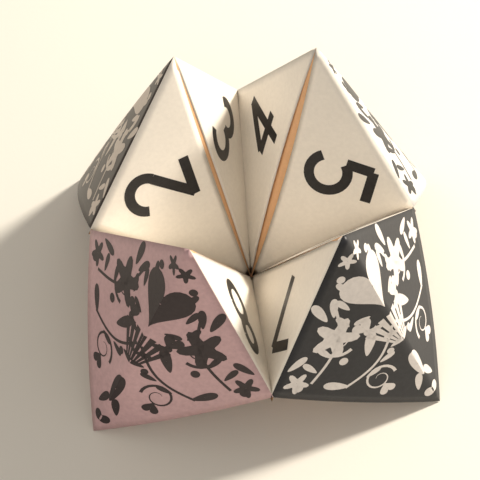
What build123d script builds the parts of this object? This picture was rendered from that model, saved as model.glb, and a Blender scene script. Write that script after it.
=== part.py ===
"""Paper fortune teller: one square sheet folded into four peaks, standing on its four flap corners.

Millimetres, +Z up, front towards -Y. The origin is the middle of the footprint, on the table.
The sheet is a 4 x 4 grid of cells. Each cell is halved by a fold, so that it gives 32 equal
triangles. Every peak has eight of them, two side by side in each of four layers: base (the cup's
lowest layer), under panel, number panel (uppermost) and square flap (outside).
"""
from math import cos, radians, sin, sqrt
import os

from build123d import *

# Sheet
SHEET = 210.0            # side of the square sheet
CELL = SHEET / 4         # one grid cell: the short sides of every triangle
THICK = 0.2              # paper
LAYER = 2 * THICK        # from one layer's middle to the next at a pressed fold

# How far the cup is open: each valley line climbs outwards from the middle
VALLEY_CLIMB = (35.0, 25.8, 34.1, 21.8)      # degrees: right, back, left, front
VALLEY_SWING = (-1.5, 0.0, 1.2, 0.4)         # degrees off the square directions
BASE_LIFT = 0.007 * SHEET                    # middle of the base above the table

# Feet: the free corners of the four flaps, as shares of the sheet's side
FOOT_SPREAD = ((0.238, 0.155), (-0.220, 0.184), (-0.217, -0.203), (0.223, -0.197))

# The springy panels don't lie quite flat on the base
TIP_LIFT = 1.7                    # panel tips above the middle of the base
TIP_GAP = 0.8                     # panel tips short of the middle
FOLD_BOW = (1.5, 0.9, 0.4, 0.3)   # panels' folds bend away from each peak's ridge by this
BOW_AT = 0.4                      # share of the fold from the peak to its bend
FOLD_START = 0.8                  # panels' folds start this far down the base fold from a peak
HEM_OUT = 1.1                     # flap folds beyond the base folds
SLIT = 0.35                       # from each cut edge to the valley's middle

# Pressed paper along folds, a six-sided bead
FOLD_SIDES = 6
HAIRPIN = 0.75 * LAYER + 0.3 * THICK   # radius of a fold pressed shut
CREASE = 0.8 * THICK                   # radius of an open fold


def peak_from(first, second):
    """Point one cell's side from both valley ends and one cell's diagonal from the middle."""
    share = CELL**2 / (CELL**2 + first.dot(second))
    level = (first + second) * share
    normal = first.cross(second)
    rise = sqrt(2 * CELL**2 - level.dot(level)) / normal.length
    return level + normal * rise


def plane_through(start, end, third):
    """Plane with its origin at start and X along start to end, with the third corner at +Y."""
    along = end - start
    return Plane(origin=start, x_dir=along, z_dir=along.cross(third - start))


# Corners of the base, the feet and the panel tips
angles = [(radians(90 * k + VALLEY_SWING[k]), radians(VALLEY_CLIMB[k])) for k in range(4)]
outward = [Vector(cos(c) * cos(h), cos(c) * sin(h), sin(c)) for h, c in angles]
rises = [peak_from(outward[k] * CELL, outward[(k + 1) % 4] * CELL) for k in range(4)]
feet = [Vector(x * SHEET, y * SHEET, -BASE_LIFT) for x, y in FOOT_SPREAD]
ends = [out * (CELL + HEM_OUT) for out in outward] + feet
middle = Vector(
    -(min(p.X for p in ends) + max(p.X for p in ends)) / 2,
    -(min(p.Y for p in ends) + max(p.Y for p in ends)) / 2,
    BASE_LIFT + CREASE,
)
valley = [middle + out * CELL for out in outward]
peak = [middle + p for p in rises]
foot = [middle + p for p in feet]
tip = [middle + out * TIP_GAP + Vector(0, 0, TIP_LIFT) for out in outward]

# Facet frames: out along the valley line, in along the base fold to the peak, up out of the paper
facets = {}
for k in range(4):
    for v in (k, (k + 1) % 4):
        inward = (peak[k] - valley[v]).normalized()
        up = outward[v].cross(inward)
        facets[k, v] = (outward[v], inward, up if up.Z > 0 else -up)

# Flat pieces as (plane, corners, bow of the side from the last corner to the first), and folds
plates, creases, hairpins, bowed, flap_sides = [], [], [], [], {}
for (k, v), (out, inward, up) in facets.items():
    # Layers meet short of the valley's middle by the tangent of half the turn between facets
    other = facets[(k - 1) % 4 if v == k else (k + 1) % 4, v][2]
    short = LAYER * (up - other).length / (up + other).length
    start = peak[k] - inward * FOLD_START

    # Base
    base = [middle, peak[k], valley[v]]
    plates.append((plane_through(*base), base, 0))
    hairpins.append((peak[k] + up * (0.5 * LAYER), valley[v] + up * (0.5 * LAYER)))

    # Under panel
    under_end = valley[v] + up * LAYER + inward * short
    under = [start + up * LAYER, under_end, tip[v] - up * (0.5 * LAYER) + inward * (0.5 * SLIT)]
    plates.append((plane_through(*under), under, FOLD_BOW[k]))
    if v == k:
        creases.append((under_end, tip[v] + out * SLIT))
    fold_end = tip[v] + inward * (0.4 * SLIT)
    bowed.append((start + up * (1.5 * LAYER), fold_end, valley[v], FOLD_BOW[k]))

    # Number panel, which reaches past the base fold to the flap's fold
    hem_end = valley[v] + out * HEM_OUT + inward * (2 * short + SLIT)
    number = [
        start + up * (2 * LAYER),
        start + up * (2 * LAYER) + out * HEM_OUT,
        hem_end + up * (2 * LAYER),
        tip[v] + up * (0.5 * LAYER) + inward * SLIT,
    ]
    plates.append((plane_through(*number[1:]), number, FOLD_BOW[k]))

    # Fold between number panel and flap
    hem = (peak[k] + out * HEM_OUT + up * (1.5 * LAYER), hem_end + up * (1.5 * LAYER))
    hairpins.append(hem)
    flap_sides[k, v] = (plane_through(*hem, foot[k]), hem)

# Flaps: the halves of each meet along the line where their planes cross, through the foot
for k in range(4):
    sides = [flap_sides[k, k], flap_sides[k, (k + 1) % 4]]
    line = sides[0][0].z_dir.cross(sides[1][0].z_dir).normalized()
    top = foot[k] + line * (peak[k] - foot[k]).dot(line)
    for plane, (hem_start, hem_end) in sides:
        plates.append((plane, [hem_start, hem_end, foot[k], top], 0))
    creases += [(top, foot[k]), (middle, peak[k]), (middle, valley[k])]

with BuildPart() as folded_sheet:
    paper = []
    # Flat pieces
    for plane, corners, bow in plates:
        flat = [Vector(p.X, p.Y) for p in (plane.to_local_coords(corner) for corner in corners)]
        with BuildSketch(plane):
            with BuildLine():
                Polyline(*flat)
                if bow:
                    side = flat[0] - flat[-1]
                    lean = Vector(-side.Y, side.X).normalized()
                    Polyline(flat[-1], flat[0] - side * BOW_AT + lean * bow, flat[0])
                else:
                    Line(flat[-1], flat[0])
            make_face()
        paper.append(extrude(amount=THICK / 2, both=True, mode=Mode.PRIVATE))
    # Straight folds
    for radius, group in ((CREASE, creases), (HAIRPIN, hairpins)):
        for start, end in group:
            with BuildSketch(Plane(origin=start, z_dir=end - start)):
                RegularPolygon(radius, FOLD_SIDES)
            paper.append(extrude(amount=(end - start).length, mode=Mode.PRIVATE))
    # Panels' folds, which bend away from the ridge
    for start, end, third, bow in bowed:
        length = (end - start).length
        with BuildLine(plane_through(start, end, third)) as fold:
            Polyline((0, 0), (length * BOW_AT, bow), (length, 0))
        with BuildSketch(Plane(origin=fold.line @ 0, z_dir=fold.line % 0)):
            RegularPolygon(HAIRPIN, FOLD_SIDES)
        bent = sweep(path=fold.line, transition=Transition.RIGHT, mode=Mode.PRIVATE)
        paper.append(bent)
    add(paper, clean=False)

folded_sheet.part.label = "folded_sheet"

os.makedirs("parts", exist_ok=True)
export_step(folded_sheet.part, "parts/folded_sheet.step")
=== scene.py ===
from math import cos, pi, radians, sin, sqrt
import bpy
import numpy as np
from mathutils import Matrix, Vector


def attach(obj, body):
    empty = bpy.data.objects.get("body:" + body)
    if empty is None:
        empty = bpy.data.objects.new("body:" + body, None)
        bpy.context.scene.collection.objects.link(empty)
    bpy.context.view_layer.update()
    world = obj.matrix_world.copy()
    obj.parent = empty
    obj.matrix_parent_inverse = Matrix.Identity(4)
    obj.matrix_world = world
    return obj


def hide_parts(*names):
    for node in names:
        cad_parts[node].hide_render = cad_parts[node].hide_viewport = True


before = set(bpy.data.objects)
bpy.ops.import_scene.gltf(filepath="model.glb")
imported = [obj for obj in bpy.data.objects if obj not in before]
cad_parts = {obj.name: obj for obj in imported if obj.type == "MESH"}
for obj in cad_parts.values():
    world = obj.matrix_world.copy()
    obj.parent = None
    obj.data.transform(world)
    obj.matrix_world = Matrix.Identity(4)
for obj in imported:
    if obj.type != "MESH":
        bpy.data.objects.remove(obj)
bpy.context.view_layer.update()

# ---------------------------------------------------------------------------------------------
# Folded sheet. One square of printed paper, folded twice to its middle and opened into a cup.
# The sheet is a 4 x 4 grid of cells, each halved by a fold; every half is a slightly bowed patch.
SHEET = 0.210
CELL = SHEET / 4
THICK = 0.0002
CLIMB = np.radians((35.0, 25.8, 34.1, 21.8))                 # valleys: right, back, left, front
HEADING = np.radians((-1.5, 90.0, 181.2, 270.4))
BASE_LIFT = 0.007 * SHEET
FOOT = SHEET * np.array([(0.238, 0.155), (-0.220, 0.184), (-0.217, -0.203), (0.223, -0.197)])
TIP_LIFT, TIP_GAP = 0.0012, 0.0004                           # panel tips above the middle
HEM_OUT, HEM_LIFT, SLIT = 0.0006, 0.0010, 0.00035             # number panels' outer corners
RIDGE_BOW = (0.0013, 0.0006, 0.0003, 0.0003)                 # panels part along each peak's ridge
FLAP_BELLY = (0.0045, 0.0020, 0.0012, 0.0012)                # flaps swell outwards

reach = CELL * np.stack([np.cos(CLIMB) * np.cos(HEADING), np.cos(CLIMB) * np.sin(HEADING),
                         np.sin(CLIMB)], axis=1)


def peak_from(first, second):
    """The point one cell's side from both valley ends and one diagonal from the middle."""
    level = (first + second) * CELL**2 / (CELL**2 + first @ second)
    normal = np.cross(first, second)
    return level + normal * sqrt(2 * CELL**2 - level @ level) / np.linalg.norm(normal)


def unit(vector):
    """The vector, or each row of an array, at length one."""
    vector = np.asarray(vector, float)
    return vector / np.linalg.norm(vector, axis=-1, keepdims=True)


rise = np.array([peak_from(reach[k], reach[(k + 1) % 4]) for k in range(4)])
feet = np.column_stack([FOOT, np.full(4, -BASE_LIFT)])
ends = np.vstack([reach * (CELL + 0.001) / CELL, feet])
middle = np.array([-(ends[:, 0].min() + ends[:, 0].max()) / 2,
                   -(ends[:, 1].min() + ends[:, 1].max()) / 2, BASE_LIFT + 0.00016])


def patches():
    """Corners and side bows of the 32 patches, by quarter k, side s and layer.

    Quarter k of the sheet lies between valleys k and k + 1. Side 0 is next to valley k. Layers:
    0 base, 1 under panel, 2 number panel, 3 flap. Corners are in the order peak, second, third.
    """
    corner = np.zeros((4, 2, 4, 3, 3))
    bow = np.zeros((4, 2, 4, 3, 3))      # for the sides opposite corners 0, 1 and 2
    for k in range(4):
        for s in range(2):
            v = (k + s) % 4
            peak, valley = rise[k], reach[v]
            out, inward = unit(valley), unit(peak - valley)
            up = np.cross(out, inward)
            up = up if up[2] > 0 else -up
            tip = out * TIP_GAP + np.array([0, 0, TIP_LIFT])
            hem = valley + out * HEM_OUT + up * HEM_LIFT + inward * (SLIT + HEM_LIFT * 1.6)
            origin = np.zeros(3)
            corner[k, s, 0] = peak, origin, valley
            corner[k, s, 1] = peak, tip, valley
            corner[k, s, 2] = peak, tip, hem
            corner[k, s, 3] = peak, feet[k], hem
            aside = unit(out - inward)
            bow[k, s, 1, 2] = bow[k, s, 2, 2] = aside * RIDGE_BOW[k] + up * RIDGE_BOW[k] * 0.4
            bow[k, s, 2, 0] = up * 0.0010
            flap_out = unit(np.cross(feet[k] - peak, hem - peak)) * (1 if s == 1 else -1)
            flap_out = flap_out * np.sign(flap_out @ (peak * [1, 1, 0]))
            bow[k, s, 3, 0] = flap_out * FLAP_BELLY[k]
            bow[k, s, 3, 2] = unit(peak * [1, 1, 0]) * FLAP_BELLY[k] * 0.35
    return corner + middle, bow


CORNER, BOW = patches()


def fold(u, v, lift=0.0):
    """Place in space of points of the flat sheet, u to the right and v to the back, in cells.

    Each point is a weighted mean of its patch's corners, plus each side's bow times four times
    the product of the side's two weights. Lift moves it off the printed side.
    """
    u, v = np.broadcast_arrays(np.asarray(u, float), np.asarray(v, float))
    x, y = np.clip(np.abs(u), 0, 2), np.clip(np.abs(v), 0, 2)
    k = np.where(u >= 0, np.where(v >= 0, 0, 3), np.where(v >= 0, 1, 2))
    horizontal = x >= y                       # nearer the valley that runs along u
    right_side = np.where(k % 2 == 0, horizontal, ~horizontal)
    a, b = np.where(horizontal, x, y), np.where(horizontal, y, x)    # along and off the valley
    inner = a <= 1
    corner_cell = b > 1
    edge = ~inner & ~corner_cell
    number = edge & (a - 1 > 1 - b)
    under = edge & ~number
    layer = np.select([inner, under, number], [0, 1, 2], 3)
    side = np.where(right_side, 0, 1)
    # Weights of the patch's corners
    w = np.zeros(u.shape + (3,))
    w0 = np.select([inner, under, number], [b, b, 2 - a], 2 - a)
    w[..., 0] = w0
    w[..., 1] = np.select([inner, under, number], [1 - a, a - 1, 1 - b], b - 1)
    w[..., 2] = 1 - w[..., 0] - w[..., 1]
    c, d = CORNER[k, side, layer], BOW[k, side, layer]
    place = (w[..., None] * c).sum(-2)
    pairs = 4 * np.stack([w[..., 1] * w[..., 2], w[..., 0] * w[..., 2], w[..., 0] * w[..., 1]], -1)
    place = place + (pairs[..., None] * d).sum(-2)
    if np.any(lift):
        normal = np.cross(c[..., 1, :] - c[..., 0, :], c[..., 2, :] - c[..., 0, :])
        # The printed side of panels and base faces up, and that of a flap faces out
        away = c[..., 0, :] + c[..., 1, :] - 2 * middle
        away[..., 2] = 0
        facing = np.where(layer == 3, (normal * away).sum(-1), normal[..., 2])
        normal = unit(normal) * np.sign(facing)[..., None]
        place = place + normal * np.asarray(lift)[..., None]
    return place, layer, k, side


def mesh_piece(name, points, faces, material, uv=None, smooth=True):
    """A mesh object from an n x 3 array of points and an array of faces."""
    mesh = bpy.data.meshes.new(name)
    mesh.from_pydata(points.tolist(), [], faces.tolist())
    mesh.update()
    if uv is not None:
        layer = mesh.uv_layers.new(name="UVMap")
        loops = np.empty(len(mesh.loops), dtype=np.int32)
        mesh.loops.foreach_get("vertex_index", loops)
        layer.data.foreach_set("uv", uv[loops].astype(np.float32).ravel())
    mesh.polygons.foreach_set("use_smooth", np.full(len(mesh.polygons), smooth))
    obj = bpy.data.objects.new(name, mesh)
    bpy.context.scene.collection.objects.link(obj)
    for m in (material if isinstance(material, list) else [material]):
        mesh.materials.append(m)
    return obj


def paper(name, color, ink=0.0, rough=0.62, fibre=0.06):
    """Printed paper: a base colour mottled by pulp, fine fibre bump and a soft sheen."""
    m = bpy.data.materials.new(name)
    m.use_nodes = True
    tree = m.node_tree
    shader = tree.nodes["Principled BSDF"]
    coords = tree.nodes.new("ShaderNodeTexCoord")
    pulp = tree.nodes.new("ShaderNodeTexNoise")
    pulp.inputs["Scale"].default_value = 900.0
    pulp.inputs["Detail"].default_value = 6.0
    broad = tree.nodes.new("ShaderNodeTexNoise")
    broad.inputs["Scale"].default_value = 38.0
    broad.inputs["Detail"].default_value = 3.0
    mix = tree.nodes.new("ShaderNodeMix")
    mix.data_type = "RGBA"
    ramp = tree.nodes.new("ShaderNodeMapRange")
    ramp.inputs["From Min"].default_value = 0.35
    ramp.inputs["From Max"].default_value = 0.7
    dark = [max(c * (1 - 3 * fibre), 0) for c in color]
    light = [min(c * (1 + fibre) + 0.01 * ink, 1) for c in color]
    mix.inputs["A"].default_value = (*dark, 1)
    mix.inputs["B"].default_value = (*light, 1)
    add = tree.nodes.new("ShaderNodeMath")
    add.operation = "ADD"
    half = tree.nodes.new("ShaderNodeMath")
    half.operation = "MULTIPLY"
    half.inputs[1].default_value = 0.5
    tree.links.new(coords.outputs["Object"], pulp.inputs["Vector"])
    tree.links.new(coords.outputs["Object"], broad.inputs["Vector"])
    tree.links.new(pulp.outputs["Fac"], add.inputs[0])
    tree.links.new(broad.outputs["Fac"], add.inputs[1])
    tree.links.new(add.outputs[0], half.inputs[0])
    tree.links.new(half.outputs[0], ramp.inputs["Value"])
    tree.links.new(ramp.outputs["Result"], mix.inputs["Factor"])
    tree.links.new(mix.outputs["Result"], shader.inputs["Base Color"])
    bump = tree.nodes.new("ShaderNodeBump")
    bump.inputs["Strength"].default_value = 0.25
    bump.inputs["Distance"].default_value = 0.00008
    tree.links.new(pulp.outputs["Fac"], bump.inputs["Height"])
    tree.links.new(bump.outputs["Normal"], shader.inputs["Normal"])
    shader.inputs["Roughness"].default_value = rough
    shader.inputs["Specular IOR Level"].default_value = 0.4
    return m


cream = paper("paper_cream", (0.90, 0.84, 0.75), fibre=0.025)
plain = paper("paper_plain", (0.88, 0.84, 0.76), fibre=0.025)
# The base layer is cream paper like the panels. It is coloured orange as painted shade and painted warm
# bounce light, seen in the slits between the number panels
painted_gap_shade = paper("painted_gap_shade_orange", (0.80, 0.46, 0.24), fibre=0.03)
flap_colors = [(0.80, 0.77, 0.73), (0.030, 0.019, 0.015), (0.58, 0.37, 0.38), (0.010, 0.010, 0.014)]
flap_paper = [paper("print_flap_%d" % k, c, 1.0, 0.42) for k, c in enumerate(flap_colors)]

STEPS = 22                                         # grid lines per cell
line = np.linspace(-2, 2, 4 * STEPS + 1)
grid_u, grid_v = np.meshgrid(line, line, indexing="xy")
sheet_points, _, _, _ = fold(grid_u, grid_v)
count = len(line)
i, j = np.meshgrid(np.arange(count - 1), np.arange(count - 1), indexing="xy")
a = (j * count + i).ravel()
b, c, d = a + 1, a + count + 1, a + count
mid_u, mid_v = (line[i] + line[i + 1]).ravel() / 2, (line[j] + line[j + 1]).ravel() / 2
# Cells are cut along the diagonal that their fold runs on
outer_u, outer_v = np.abs(mid_u) > 1, np.abs(mid_v) > 1
rising = (mid_u * mid_v > 0) ^ (outer_u ^ outer_v)
first = np.where(rising[:, None], np.stack([a, b, c], 1), np.stack([a, b, d], 1))
second = np.where(rising[:, None], np.stack([a, c, d], 1), np.stack([b, c, d], 1))
faces = np.vstack([first, second])
flat_uv = np.stack([grid_u.ravel(), grid_v.ravel()], 1)
centre = flat_uv[faces].mean(1)
_, layers, quarters, _ = fold(centre[:, 0], centre[:, 1])
sheet = mesh_piece("sheet", sheet_points.reshape(-1, 3), faces,
                   [cream, painted_gap_shade, plain] + flap_paper, flat_uv / 4 + 0.5)
# Number panels take cream paper, the base layer the orange painted shade, under panels plain paper, and
# flaps their printed colours
slots = np.select([layers == 2, layers == 0, layers == 1], [0, 1, 2], 3 + quarters)
sheet.data.polygons.foreach_set("material_index", slots.astype(np.int32))
thick = sheet.modifiers.new("thickness", "SOLIDIFY")
thick.thickness = THICK
thick.offset = 0.0
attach(sheet, "root")
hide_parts("folded_sheet")

# ---------------------------------------------------------------------------------------------
# Ink. Solid shapes of printing ink on the sheet's printed side: black numbers on the panels and
# hearts, petals, leaves, scrolls and dots on the flaps. Each lies a hair above the paper.
INK_LIFT = THICK / 2 + 0.00004


def ink(name, color):
    """Printing ink: an even colour with a faint mottle and a slight sheen."""
    return paper(name, color, 1.0, 0.40, 0.05)


inks = {"black": ink("ink_black", (0.015, 0.013, 0.013)), "pale": ink("ink_pale", (0.62, 0.52, 0.44)),
        "white": ink("ink_white", (0.78, 0.72, 0.68)), "maroon": ink("ink_maroon", (0.022, 0.010, 0.012))}
shapes = {name: ([], []) for name in inks}


def add_patch(color, points_u, points_v):
    """Add a grid of sheet points, given in cells as two arrays, as quads of one ink."""
    place, _, _, _ = fold(points_u, points_v, np.full(points_u.shape, INK_LIFT))
    rows, columns = points_u.shape
    verts, quads = shapes[color]
    start = sum(len(x) for x in verts)
    r, q = np.meshgrid(np.arange(rows - 1), np.arange(columns - 1), indexing="ij")
    n = (start + r * columns + q).ravel()
    verts.append(place.reshape(-1, 3))
    quads.append(np.stack([n, n + 1, n + columns + 1, n + columns], 1))


def fan(color, place, outline, rings=5):
    """A filled shape: outline is a closed loop of points round its own middle."""
    share = np.linspace(0.02, 1, rings)[:, None]
    loop = np.vstack([outline, outline[:1]])
    add_patch(color, *place(share * loop[:, 0], share * loop[:, 1]))


def ribbon(color, place, path, width):
    """A stroke: points either side of a path by half the width, which may vary along it."""
    path = np.asarray(path, float)
    tangent = unit(np.gradient(path, axis=0))
    half = np.broadcast_to(width, len(path))[:, None] / 2
    normal = np.stack([-tangent[:, 1], tangent[:, 0]], 1) * half
    both = np.stack([path - normal, path, path + normal])
    add_patch(color, *place(both[..., 0], both[..., 1]))


def placer(k, u0, v0, turn=0.0, size=1.0):
    """A map from a shape's own x and y to the sheet's cells in quarter k's own axes.

    u0 and v0 are cells outwards from the sheet's middle, so the same numbers serve all quarters.
    """
    su, sv = ((1, 1), (-1, 1), (-1, -1), (1, -1))[k]
    ct, st = cos(turn), sin(turn)

    def place(x, y):
        x, y = x * size, y * size
        return su * (u0 + ct * x - st * y), sv * (v0 + st * x + ct * y)
    return place


turn_t = np.linspace(0, 2 * pi, 41)[:-1]
heart = np.stack([np.sin(turn_t)**3, (13 * np.cos(turn_t) - 5 * np.cos(2 * turn_t)
                  - 2 * np.cos(3 * turn_t) - np.cos(4 * turn_t)) / 16], 1)
disc = np.stack([np.cos(turn_t), np.sin(turn_t)], 1)
leaf = np.stack([np.cos(turn_t), 0.34 * np.sin(turn_t) * (1 - 0.35 * np.cos(turn_t))], 1)
flower = disc * (0.72 + 0.28 * np.cos(5 * turn_t))[:, None]
spiral_t = np.linspace(0, 1, 34)
scroll = np.stack([(1 - 0.75 * spiral_t) * np.cos(4.2 * spiral_t * pi / 1.5),
                   (1 - 0.75 * spiral_t) * np.sin(4.2 * spiral_t * pi / 1.5)], 1)
flap_ink = ("black", "pale", "maroon", "white")
SCROLL_WIDTH = 0.18 * (1.1 - spiral_t)
LEAVES = ((1.46, 1.06, 0.9, 0.07), (1.62, 1.40, 0.2, 0.08), (1.78, 1.06, -0.6, 0.06),
          (1.90, 1.32, 1.6, 0.07), (1.12, 1.42, 1.2, 0.06), (1.86, 1.80, 0.4, 0.06))
BERRIES = ((1.09, 1.25, 0.022), (1.74, 1.30, 0.024), (1.93, 1.12, 0.026), (1.66, 1.54, 0.02),
           (1.93, 1.90, 0.03), (1.36, 1.55, 0.022))
for k in range(4):
    main = flap_ink[k]
    # Down the middle of the flap, from the peak's corner to the foot's
    fan(main, placer(k, 1.27, 1.27, radians(-45 + 180), 0.16), heart, 7)
    fan(main, placer(k, 1.74, 1.74, radians(45), 0.10), leaf)
    for spread in np.linspace(-0.6, 0.6, 7):
        ray = np.stack([-0.25 - 0.75 * spiral_t, 0 * spiral_t], 1)
        ribbon(main, placer(k, 1.62, 1.62, radians(45) + spread, 0.26), ray, 0.04 + 0.10 * spiral_t)
    for mirror in (1, -1):
        def at(x, y, turn=0.0, size=1.0):
            """A place by distance from the flap's diagonal, on one side or the other."""
            if mirror == 1:
                return placer(k, x, y, turn, size)
            other = placer(k, y, x, pi / 2 - turn, size)
            return lambda a, b: other(a, -np.asarray(b))
        fan(main, at(1.60, 1.20, 0.5, 0.13), flower, 6)
        ribbon(main, at(1.22, 1.62, 0.4, 0.10), scroll, SCROLL_WIDTH)
        ribbon(main, at(1.84, 1.55, 2.2, 0.09), scroll, SCROLL_WIDTH)
        stem = np.stack([spiral_t, 0.16 * np.sin(spiral_t * pi)], 1)
        ribbon(main, at(1.38, 1.10, 0.15, 0.52), stem, 0.03)
        ribbon(main, at(1.50, 1.48, -0.25, 0.42), stem, 0.035)
        for x, y, turn, size in LEAVES:
            fan(main, at(x, y, turn, size), leaf)
        for x, y, size in BERRIES:
            fan(main, at(x, y, 0, size), disc, 3)
        fan(main, at(1.90, 1.62, -0.8, 0.045), heart)
        fan(main, at(1.52, 1.32, 2.6, 0.055), heart)
        fan(main, at(1.14, 1.08, 0.4, 0.05), flower, 4)
        fan(main, at(1.90, 1.10, 0.2, 0.07), flower, 4)
        for along in np.linspace(1.30, 1.80, 6):
            fan(main, at(along, 1.16 + 0.05 * sin(9 * along), 1.1, 0.05), leaf)
            fan(main, at(along, 1.50 - 0.06 * sin(7 * along), -0.7, 0.045), leaf)


def digit_paths(n):
    """Strokes of a plain numeral in a box about 0.6 wide and 1 high, middle at the origin."""
    def arc(x, y, rx, ry, start, end):
        t = np.radians(np.linspace(start, end, 26))
        return np.stack([x + rx * np.cos(t), y + ry * np.sin(t)], 1)

    def bar(x0, y0, x1, y1):
        t = np.linspace(0, 1, 12)[:, None]
        return np.array([x0, y0]) * (1 - t) + np.array([x1, y1]) * t
    return {
        1: [bar(0, -0.5, 0, 0.5), bar(-0.18, 0.28, 0.02, 0.46), bar(-0.2, -0.45, 0.2, -0.45)],
        2: [arc(0, 0.22, 0.25, 0.24, 170, -40), bar(0.19, 0.07, -0.27, -0.45),
            bar(-0.3, -0.44, 0.3, -0.44)],
        3: [arc(-0.02, 0.24, 0.22, 0.22, 155, -80), arc(-0.02, -0.22, 0.26, 0.25, 85, -155)],
        4: [bar(0.1, -0.5, 0.1, 0.5), bar(0.1, 0.46, -0.3, -0.16), bar(-0.32, -0.18, 0.32, -0.18)],
        5: [bar(-0.2, 0.44, 0.26, 0.44), bar(-0.2, 0.44, -0.22, 0.04),
            arc(-0.02, -0.18, 0.27, 0.28, 130, -150)],
        6: [arc(0, -0.2, 0.25, 0.26, 0, 360), arc(0.12, -0.12, 0.38, 0.6, 175, 95)],
        7: [bar(-0.28, 0.44, 0.28, 0.44), bar(0.27, 0.44, -0.08, -0.5)],
        8: [arc(0, 0.24, 0.2, 0.21, 0, 360), arc(0, -0.22, 0.26, 0.26, 0, 360)],
    }[n]


# Numbers run clockwise from the front of the left valley. Their feet are along the panel's fold
NUMERAL_HEIGHT = 0.38                                # cells
NUMERAL_STROKE = 0.15                                # of the numeral's height
NUMBERS = {(2, 0): 1, (1, 1): 2, (1, 0): 3, (0, 1): 4, (0, 0): 5, (3, 1): 6, (3, 0): 7, (2, 1): 8}
for (k, s), n in NUMBERS.items():
    su, sv = ((1, 1), (-1, 1), (-1, -1), (1, -1))[k]
    along_u = (s == 0) == (k % 2 == 0)                   # the panel's valley runs along u
    peak_uv, tip_uv, hem_uv = (np.array(p) for p in ((1, 1), (2, 0), (2, 1)))
    if not along_u:
        peak_uv, tip_uv, hem_uv = peak_uv[::-1], tip_uv[::-1], hem_uv[::-1]
    sign = np.array([su, sv])
    peak_uv, tip_uv, hem_uv = peak_uv * sign, tip_uv * sign, hem_uv * sign
    top = unit(hem_uv - (peak_uv + tip_uv) / 2)
    # The printed side is seen from above, where the panel's turn decides which way is right
    folded = fold(np.array([peak_uv[0], tip_uv[0], hem_uv[0]]) * 0.999, np.array(
        [peak_uv[1], tip_uv[1], hem_uv[1]]) * 0.999)[0]
    rightward = unit(peak_uv - tip_uv)
    space_up = folded[2] - (folded[0] + folded[1]) / 2
    panel_normal = np.cross(folded[1] - folded[0], folded[2] - folded[0])
    seen_right = np.cross(space_up, panel_normal * np.sign(panel_normal[2]))
    if (folded[0] - folded[1]) @ seen_right < 0:
        rightward = -rightward
    home = 0.33 * peak_uv + 0.26 * tip_uv + 0.41 * hem_uv

    def on_panel(x, y, home=home, right=rightward, up=top):
        """Place in the sheet of a point of the numeral's own box."""
        return tuple(home[i] + NUMERAL_HEIGHT * (x * right[i] + y * up[i]) for i in (0, 1))
    for path in digit_paths(n):
        ribbon("black", on_panel, path, NUMERAL_STROKE)

for name, (verts, quads) in shapes.items():
    piece = mesh_piece("print_" + name, np.vstack(verts), np.vstack(quads), inks[name])
    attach(piece, "root")

# ---------------------------------------------------------------------------------------------
# Studio: pale table, soft key from the right and behind, a weak fill, and a long lens above.
bpy.ops.mesh.primitive_plane_add(size=6.0, location=(0, 0, -0.0001))
floor = bpy.context.object
floor.name = "floor"
floor.data.materials.append(paper("table", (0.80, 0.77, 0.70), 0, 0.6, 0.0))

world = bpy.data.worlds.new("studio")
world.use_nodes = True
world.node_tree.nodes["Background"].inputs["Color"].default_value = (1.0, 0.93, 0.84, 1)
world.node_tree.nodes["Background"].inputs["Strength"].default_value = 0.45
bpy.context.scene.world = world


def lamp(name, place, power, size, color):
    """A square area light aimed at the middle of the object."""
    data = bpy.data.lights.new(name, "AREA")
    data.energy, data.size, data.color = power, size, color
    obj = bpy.data.objects.new(name, data)
    obj.location = place
    aim = Vector((0, 0, 0.03)) - Vector(place)
    obj.rotation_euler = aim.to_track_quat("-Z", "Y").to_euler()
    bpy.context.scene.collection.objects.link(obj)


lamp("key", (0.75, 0.35, 0.62), 16.0, 0.13, (1.0, 0.93, 0.82))
lamp("fill", (-0.5, -0.8, 0.9), 2.5, 0.8, (1.0, 0.96, 0.92))

VIEW_TILT, VIEW_YAW, VIEW_ROLL = radians(56.84), radians(-6.5), radians(1.63)
HALF = SHEET / 2
LENS, SENSOR = 120.0, 36.0
aim_x, aim_y = -0.0322 * HALF, -0.0311 * HALF
target = Vector((aim_x * cos(VIEW_YAW) - aim_y * sin(VIEW_YAW) + middle[0],
                 aim_x * sin(VIEW_YAW) + aim_y * cos(VIEW_YAW) + middle[1], 0.25 * HALF))
back_dir = Matrix.Rotation(VIEW_YAW, 3, "Z") @ Vector((0, -cos(VIEW_TILT), sin(VIEW_TILT)))
camera_data = bpy.data.cameras.new("camera")
camera_data.lens, camera_data.sensor_width = LENS, SENSOR
camera = bpy.data.objects.new("camera", camera_data)
camera.location = target + back_dir * 4.037 * HALF
camera.rotation_euler = ((-back_dir).to_track_quat("-Z", "Y").to_matrix()
                         @ Matrix.Rotation(VIEW_ROLL, 3, "Z")).to_euler()
bpy.context.scene.collection.objects.link(camera)
bpy.context.scene.camera = camera
bpy.context.scene.view_settings.view_transform = "Standard"
